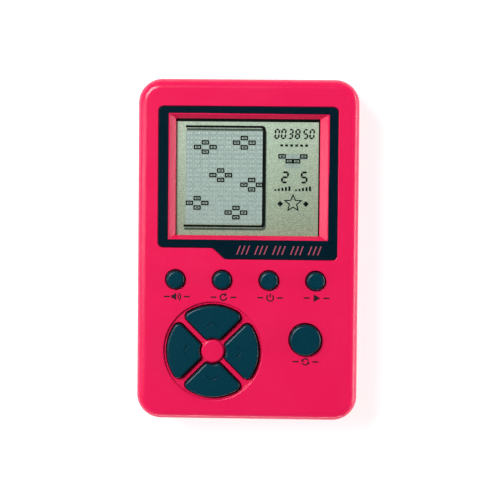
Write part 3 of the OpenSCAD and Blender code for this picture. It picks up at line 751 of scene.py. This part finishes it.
def round_key(name, at, radius, top):
    key = disc(name, at, radius, FLANGE_TOP_Z, top, 72)
    round_edges(key, lambda p: near(p.z, top), KEY_EDGE_R, 8)
    open_edit(key)
    pick(key, "FACE", lambda p: near(p.z, top))
    bpy.ops.mesh.inset(thickness=0.2 * MM)
    bpy.ops.mesh.inset(thickness=0.35 * MM)
    bpy.ops.transform.translate(value=(0, 0, -0.05 * MM))
    close_edit()
    add_flange(key, FLANGE_TOP_Z, (radius + KEY_GAP + FLANGE_W) / radius)
    smooth(key, 50)
    return key


def make_round_keys():
    for name, x in SMALL_KEYS.items():
        key = round_key(name + "_key", (x, SMALL_Y), SMALL_R, SMALL_TOP_Z)
        fit(key, "key_" + name, "key_teal", TEAL, "key_" + name)
    key = round_key("turn_key", TURN_AT, TURN_R, TURN_TOP_Z)
    fit(key, "key_turn", "key_teal", TEAL, "key_turn")


def chevron_tool():
    """The shallow arrow pressed into a direction key."""
    reach = 1.5
    rise = 1.0
    width = 0.5
    middle = 8.0
    points = [(-reach, middle - rise), (0, middle), (reach, middle - rise),
              (reach, middle - rise - width), (0, middle - width), (-reach, middle - rise - width)]
    return outline("arrow tool", points, PAD_TOP_Z - 0.16, PAD_TOP_Z + 1)


def make_direction_keys():
    key = sector_blank("direction_key", 0.0, FLANGE_LOW_Z, PAD_TOP_Z)
    round_edges(key, lambda p: near(p.z, PAD_TOP_Z), PAD_EDGE_R, 7)
    cut_away(key, chevron_tool())
    soften(key, 0.06, 2, 60)
    smooth(key, 50)
    for name, turn in (("up", 0), ("left", 90), ("down", 180), ("right", 270)):
        copy = moved(copied(key, name + "_key"), *PAD_AT, turn)
        fit(copy, "key_" + name, "key_teal", TEAL, "key_" + name)
    bpy.data.objects.remove(key)


# The display's picture, printed labels and the inlay's ornament


def box_points(left, bottom, right, top):
    return [(left, bottom), (right, bottom), (right, top), (left, top)]


def band_points(at, inner, outer, start, stop):
    return arc(at, outer, start, stop) + arc(at, inner, stop, start)


def flat_mark(name, shapes, low, high):
    """One thin printed mark from several flat outlines."""
    return joined(name, [outline(name, points, low, high) for points in shapes])


def cell_blank(high):
    """One block of the display at the origin: a ring with a bar inside it."""
    width, height, line = CELL
    deselect()
    bpy.ops.mesh.primitive_plane_add(size=1, location=(0, 0, MARK_LOW_Z * MM))
    ring = named("cell")
    ring.scale = (width * MM, height * MM, 1)
    settle(ring)
    open_edit(ring)
    bpy.ops.mesh.inset(thickness=line * MM)
    bpy.ops.mesh.delete(type="ONLY_FACE")
    bpy.ops.mesh.select_all(action="SELECT")
    draw_up(high - MARK_LOW_Z)
    face_out()
    close_edit()
    bar = outline("bar", box_points(-0.36, -0.13, 0.36, 0.13), MARK_LOW_Z, high)
    return joined("cell", [ring, bar])


def cell_place(column, row):
    left, bottom, right, top = FIELD
    return (left + (column + 0.5) * (right - left) / 10, top - (row + 0.5) * (top - bottom) / 20)


def cells_at(name, places, high):
    blank = cell_blank(high)
    copies = [moved(copied(blank, name), x, y) for x, y in places]
    bpy.data.objects.remove(blank)
    return joined(name, copies)


def shifted(places, shift):
    return [(x + shift[0], y + shift[1]) for x, y in places]


def frame_points():
    """The thick line around the field, open at the left."""
    left, bottom, right, top = FIELD
    line = 0.62
    side = 0.85
    high = top + 1.45
    low = bottom - 0.85
    out = right + 0.55
    corner = 1.0
    inner = 0.5
    return (
        [(left, high)] + arc((out - corner, high - corner), corner, 90, 0, 6)
        + arc((out - corner, low + corner), corner, 0, -90, 6)
        + [(left - 0.5, low), (left - 0.5, low + line)]
        + arc((out - side - inner, low + line + inner), inner, -90, 0, 5)
        + arc((out - side - inner, high - line - inner), inner, 0, 90, 5) + [(left, high - line)])


def digit_bars(at, width, height, line, lean=0.1):
    """The seven bars of one digit, top first, then clockwise, the middle one last."""
    def bar(x, y, length, upright):
        half = length / 2
        tip = line / 2
        shape = [(-half, 0), (-half + tip, tip), (half - tip, tip), (half, 0), (half - tip, -tip),
                 (-half + tip, -tip)]
        if upright:
            shape = [(b, a) for a, b in shape]
        return [(at[0] + x + a + lean * (y + b), at[1] + y + b) for a, b in shape]
    half_w = (width - line) / 2
    half_h = (height - line) / 2
    wide = width - line - 0.12
    tall = half_h - 0.12
    return [bar(0, half_h, wide, False), bar(half_w, half_h / 2, tall, True),
            bar(half_w, -half_h / 2, tall, True), bar(0, -half_h, wide, False),
            bar(-half_w, -half_h / 2, tall, True), bar(-half_w, half_h / 2, tall, True),
            bar(0, 0, wide, False)]


DIGIT_BARS = {"0": "012345", "2": "01643", "3": "01623", "5": "05623", "8": "0123456"}


def lit_bars(text, at, width, height, line):
    bars = digit_bars(at, width, height, line)
    return [bars[int(i)] for i in DIGIT_BARS[text]]


def star_points(at, outer, inner):
    return [(at[0] + r * math.cos(a), at[1] + r * math.sin(a))
            for i in range(10)
            for r, a in [((outer, inner)[i % 2], math.radians(90 + 36 * i))]]


def diamond_points(at, reach):
    return [(at[0] - reach, at[1]), (at[0], at[1] - reach), (at[0] + reach, at[1]), (at[0], at[1] + reach)]


def side_panel_shapes():
    """Score and level digits, level bars, a row of short bars and two diamonds at the field's right."""
    shapes = []
    for text, x in zip("003850", (7.72, 9.49, 11.4, 13.3, 15.5, 17.2)):
        shapes += lit_bars(text, (x, 31.56), 1.45, 2.8, 0.44)
    for text, x in (("2", 9.95), ("5", 15.15)):
        shapes += lit_bars(text, (x, 19.8), 2.0, 3.25, 0.52)
    for start in (7.1, 12.7):
        for step in range(5):
            x = start + 0.95 * step
            shapes.append(box_points(x, 16.1, x + 0.55, 16.5 + 0.22 * step))
    for step in range(6):
        x = 8.6 + 1.35 * step
        shapes.append(box_points(x, 28.15, x + 0.75, 28.75))
    shapes += [diamond_points((8.7, 12.6), 0.8), diamond_points((15.7, 12.6), 0.8)]
    return shapes


def make_display_picture():
    lit = [cell_place(*spot) for spot in LIT_SPOTS] + NEXT_LIT
    ghost = [cell_place(c, r) for c in range(10) for r in range(20) if (c, r) not in LIT_SPOTS]
    field = slab("field_ground", FIELD, MARK_LOW_Z, FIELD_TOP_Z)
    fit(field, "case", "display_film", FIELD_GROUND)
    fit(cells_at("ghost_cells", ghost + NEXT_GHOST, GHOST_TOP_Z), "case", "display_film", GHOST)
    # Painted shadows: dark plates offset from the lit cells and the frame line.
    shades = cells_at("cell_shades", shifted(lit, CELL_SHIFT), CELL_SHADE_TOP_Z)
    fit(shades, "case", "display_film", CELL_SHADE)
    shade = outline("frame_shade", shifted(frame_points(), FRAME_SHIFT), MARK_LOW_Z, FRAME_SHADE_TOP_Z)
    fit(shade, "case", "display_film", FRAME_SHADE)
    fit(cells_at("lit_cells", lit, LIT_TOP_Z), "case", "epoxy_black", LIT)
    line = outline("field_frame", frame_points(), MARK_LOW_Z, LIT_TOP_Z)
    fit(line, "case", "epoxy_black", LIT)
    panel = flat_mark("side_panel", side_panel_shapes(), MARK_LOW_Z, LIT_TOP_Z)
    fit(panel, "case", "epoxy_black", LIT)
    star_at = (12.2, 12.75)
    star = outline("star_mark", star_points(star_at, 2.7, 1.2), MARK_LOW_Z, LIT_TOP_Z)
    hole = outline("star hole", star_points(star_at, 1.95, 0.86), MARK_LOW_Z - 1, DISPLAY_Z + 1)
    cut_away(star, hole)
    fit(star, "case", "epoxy_black", LIT)
    # Black strips along the top and right of the opening: painted shadow of the window's rim on the
    # display.
    left, bottom, right, top = OPENING
    tall = 0.8
    gap = 0.01
    edge = [box_points(left, top - tall, right, top - gap),
            box_points(right - 0.4, bottom, right - gap, top - tall)]
    fit(flat_mark("display_shadow_band", edge, MARK_LOW_Z, SHADOW_BAND_TOP_Z), "case", "epoxy_black", LIT)


def arrow_head(at, angle, reach):
    turn = math.radians(angle)
    along = (math.cos(turn), math.sin(turn))
    side = (-along[1], along[0])
    return [(at[0] + along[0] * reach, at[1] + along[1] * reach),
            (at[0] + side[0] * reach * 0.8, at[1] + side[1] * reach * 0.8),
            (at[0] - side[0] * reach * 0.8, at[1] - side[1] * reach * 0.8)]


def ring_point(at, radius, angle):
    return arc(at, radius, angle, angle, 1)[0]


def label_shapes(name, at):
    """A plain pictogram for what the key does, with a short dash at each side."""
    x, y = at
    dashes = [box_points(x + side - 0.8, y - 0.19, x + side + 0.8, y + 0.19) for side in (-2.7, 2.7)]
    if name == "sound":
        horn = [(x - 1.45, y - 0.45), (x - 0.9, y - 0.45), (x - 0.15, y - 1.05), (x - 0.15, y + 1.05),
                (x - 0.9, y + 0.45), (x - 1.45, y + 0.45)]
        waves = [band_points((x - 0.2, y), r, r + 0.32, -52, 52) for r in (0.5, 1.08)]
        return [horn] + waves + dashes
    if name == "reset":
        head = arrow_head(ring_point(at, 0.85, 70), -20, 0.7)
        return [band_points(at, 0.66, 1.04, 70, 360), head] + dashes
    if name == "power":
        stroke = box_points(x - 0.18, y + 0.1, x + 0.18, y + 1.2)
        return [band_points(at, 0.72, 1.08, 130, 410), stroke] + dashes
    if name == "start":
        return [[(x - 0.8, y - 1.05), (x + 1.05, y), (x - 0.8, y + 1.05)]] + dashes
    bands = [band_points(at, 0.68, 1.02, 20, 150), band_points(at, 0.68, 1.02, 200, 330)]
    heads = [arrow_head(ring_point(at, 0.85, angle), turn, 0.62) for angle, turn in ((150, 240), (330, 60))]
    return bands + heads + dashes


def make_labels():
    for name, at in LABELS.items():
        mark = flat_mark(name + "_label", label_shapes(name, at), FACE_Z - PRINT_HALF, FACE_Z + PRINT_HALF)
        fit(mark, "case", "inlay_dark", LABEL_INK)


def make_inlay_ornament():
    """Slanted strokes in threes along the inlay's tab."""
    shapes = []
    for group in range(5):
        for stroke in range(3):
            x = -3.0 + 4.85 * group + 1.25 * stroke
            shapes.append([(x, -1.2), (x + 0.34, -1.2), (x + 1.24, 1.2), (x + 0.9, 1.2)])
    mark = flat_mark("inlay_strokes", shapes, INLAY_TOP_Z - PRINT_HALF, INLAY_TOP_Z + PRINT_HALF)
    fit(mark, "case", "case_pink", STRIP_PINK)


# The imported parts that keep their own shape


def dress(node, material):
    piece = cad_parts[node]
    piece.data.materials.clear()
    piece.data.materials.append(material)


def dress_packed_parts():
    plain = {
        "rear_shell": PINK, "battery_door": PINK, "display_polariser": DISPLAY_GROUND,
        "display_front_glass": GLASS, "display_rear_glass": GLASS, "display_reflector": FIELD_GROUND,
        "case_screws": STEEL, "board_screws": STEEL, "door_screw": STEEL,
        "contact_plus": CONTACT, "contact_minus": CONTACT, "contact_bridge": CONTACT,
        "display_pad": moulded("foam", linear(70, 72, 74), linear(96, 98, 100), 0.9, 0.5, 0.05),
        "zebra_strip": moulded("zebra rubber", linear(206, 150, 160), linear(226, 180, 186), 0.7,
                               0.3, 0.01),
        "zebra_holder": moulded("white plastic", linear(214, 214, 208), linear(232, 232, 228), 0.45,
                                0.5, 0.01),
        "main_board": moulded("board green", linear(24, 92, 48), linear(52, 128, 74), 0.4, 0.4, 0.01),
        "chip_blob": moulded("epoxy black", linear(16, 16, 18), linear(38, 38, 42), 0.25, 1.2, 0.03),
        "buzzer": moulded("black plastic", linear(22, 22, 24), linear(46, 46, 50), 0.5, 0.4, 0.01),
        "capacitor": moulded("can blue", linear(28, 52, 118), linear(60, 88, 156), 0.35, 0.5, 0.004),
        "board_chips": moulded("chip ceramic", linear(150, 122, 92), linear(186, 160, 130), 0.5, 0.3, 0.01),
        "cell_upper": moulded("cell jacket", linear(40, 84, 62), linear(70, 118, 92), 0.3, 0.8, 0.006),
    }
    rubber = moulded("mat rubber", linear(138, 142, 146), linear(166, 170, 172), 0.75, 0.5, 0.02)
    carbon = moulded("carbon pill", linear(20, 20, 22), linear(44, 44, 46), 0.8, 0.3, 0.02)
    for node, material in plain.items():
        dress(node, material)
    dress("cell_lower", plain["cell_upper"])
    dress("function_mat", rubber)
    dress("action_mat", rubber)
    for name in ("up", "down", "left", "right", "turn", *SMALL_KEYS):
        dress("pill_" + name, carbon)


# Stage, light and camera


def make_floor():
    deselect()
    bpy.ops.mesh.primitive_plane_add(size=6.0, location=(0, 0, -0.0002))
    floor = named("floor")
    material = bpy.data.materials.new("pale floor")
    material.use_nodes = True
    nodes = material.node_tree.nodes
    link = material.node_tree.links.new
    shader = nodes["Principled BSDF"]
    shader.inputs["Roughness"].default_value = 0.9
    shader.inputs["Specular IOR Level"].default_value = 0.0
    rays = nodes.new("ShaderNodeLightPath")
    seen = nodes.new("ShaderNodeMath")
    seen.operation = "MAXIMUM"
    either = nodes.new("ShaderNodeMath")
    either.operation = "MAXIMUM"
    lift = nodes.new("ShaderNodeMath")
    lift.operation = "MULTIPLY"
    lift.inputs[1].default_value = 0.8
    link(rays.outputs["Is Camera Ray"], seen.inputs[0])
    link(rays.outputs["Is Glossy Ray"], seen.inputs[1])
    link(seen.outputs[0], either.inputs[0])
    link(rays.outputs["Is Transmission Ray"], either.inputs[1])
    link(either.outputs[0], lift.inputs[0])
    shader.inputs["Emission Color"].default_value = (1, 1, 1, 1)
    link(lift.outputs[0], shader.inputs["Emission Strength"])
    paler = nodes.new("ShaderNodeMix")
    paler.data_type = "RGBA"
    paler.inputs["A"].default_value = (0.82, 0.82, 0.82, 1)
    paler.inputs["B"].default_value = (0.5, 0.5, 0.5, 1)
    link(rays.outputs["Is Camera Ray"], paler.inputs["Factor"])
    link(paler.outputs["Result"], shader.inputs["Base Color"])
    side = nodes.new("ShaderNodeNewGeometry")
    clear = nodes.new("ShaderNodeBsdfTransparent")
    either_side = nodes.new("ShaderNodeMixShader")
    link(side.outputs["Backfacing"], either_side.inputs["Fac"])
    link(shader.outputs["BSDF"], either_side.inputs[1])
    link(clear.outputs["BSDF"], either_side.inputs[2])
    link(either_side.outputs["Shader"], nodes["Material Output"].inputs["Surface"])
    floor.data.materials.append(material)


def make_world():
    """A pale room, darker overhead and towards the right; white where the camera looks past the floor."""
    world = bpy.data.worlds.new("pale room")
    bpy.context.scene.world = world
    world.use_nodes = True
    nodes = world.node_tree.nodes
    link = world.node_tree.links.new
    sky = nodes["Background"]
    place = nodes.new("ShaderNodeTexCoord")
    split = nodes.new("ShaderNodeSeparateXYZ")
    ramp = nodes.new("ShaderNodeValToRGB")
    ramp.color_ramp.elements[0].position = 0.0
    ramp.color_ramp.elements[0].color = (0.72, 0.72, 0.72, 1)
    ramp.color_ramp.elements[1].position = 0.75
    ramp.color_ramp.elements[1].color = (0.1, 0.1, 0.1, 1)
    link(place.outputs["Generated"], split.inputs[0])
    link(split.outputs["Z"], ramp.inputs["Fac"])
    rays = nodes.new("ShaderNodeLightPath")
    white = nodes.new("ShaderNodeMix")
    white.data_type = "RGBA"
    white.inputs["B"].default_value = (1, 1, 1, 1)
    lean = nodes.new("ShaderNodeVectorMath")
    lean.operation = "DOT_PRODUCT"
    lean.inputs[1].default_value = (-0.65, 0.1, 0.0)
    side = nodes.new("ShaderNodeMapRange")
    side.inputs["From Min"].default_value = -0.7
    side.inputs["From Max"].default_value = 0.7
    side.inputs["To Min"].default_value = 0.3
    toned = nodes.new("ShaderNodeMix")
    toned.data_type = "RGBA"
    toned.blend_type = "MULTIPLY"
    toned.inputs["Factor"].default_value = 1.0
    link(place.outputs["Generated"], lean.inputs[0])
    link(lean.outputs["Value"], side.inputs["Value"])
    link(ramp.outputs["Color"], toned.inputs["A"])
    link(side.outputs["Result"], toned.inputs["B"])
    link(rays.outputs["Is Camera Ray"], white.inputs["Factor"])
    link(toned.outputs["Result"], white.inputs["A"])
    link(white.outputs["Result"], sky.inputs["Color"])
    sky.inputs["Strength"].default_value = 1.0


def make_lamp(name, at, towards, size, watts):
    lamp = bpy.data.lights.new(name, "AREA")
    lamp.shape = "RECTANGLE"
    lamp.size, lamp.size_y = size
    lamp.energy = watts
    holder = bpy.data.objects.new(name, lamp)
    bpy.context.scene.collection.objects.link(holder)
    holder.location = at
    aim = Vector(towards) - Vector(at)
    holder.rotation_euler = aim.to_track_quat("-Z", "Y").to_euler()


def make_lamps():
    middle = (0, 0, 0.015)
    make_lamp("key lamp", (-0.5, 0.42, 1.0), middle, (0.45, 0.45), 12.8)
    make_lamp("left panel", (-0.52, 0.0, 0.45), middle, (0.08, 0.5), 0.7)
    make_lamp("right panel", (0.56, 0.0, 0.115), middle, (0.5, 0.06), 1.2)
    make_lamp("low right panel", (0.4, 0.0, 0.009), (0, 0, 0.009), (0.5, 0.014), 0.7)
    make_lamp("low front panel", (0.0, -0.42, 0.009), (0, 0, 0.009), (0.4, 0.014), 0.5)


def make_camera():
    """Almost square on: a little to the right and above the middle, with half a degree of roll."""
    aim = Vector((0.72, 0.04, FACE_Z)) * MM
    distance = 0.6
    lean = Vector((math.sin(math.radians(2.52)), math.sin(math.radians(2.86)), 0))
    back = Vector((lean.x, lean.y, math.sqrt(1 - lean.length_squared)))
    up = (Vector((0, 1, 0)) - back * back.y).normalized()
    right = up.cross(back)
    roll = math.radians(0.51)
    tilted_right = right * math.cos(roll) + up * math.sin(roll)
    tilted_up = up * math.cos(roll) - right * math.sin(roll)
    lens = bpy.data.cameras.new("camera")
    lens.sensor_width = 36
    lens.lens = 159.28
    lens.clip_start = 0.01
    lens.clip_end = 20
    camera = bpy.data.objects.new("camera", lens)
    bpy.context.scene.collection.objects.link(camera)
    place = Matrix((tilted_right, tilted_up, back)).transposed().to_4x4()
    place.translation = aim + back * distance
    camera.matrix_world = place
    bpy.context.scene.camera = camera


make_camera()
make_floor()
make_world()
make_lamps()
bpy.context.scene.view_settings.view_transform = "Standard"
make_front_case()
make_inlay()
make_round_keys()
make_direction_keys()
make_display_picture()
make_labels()
make_inlay_ornament()
dress_packed_parts()
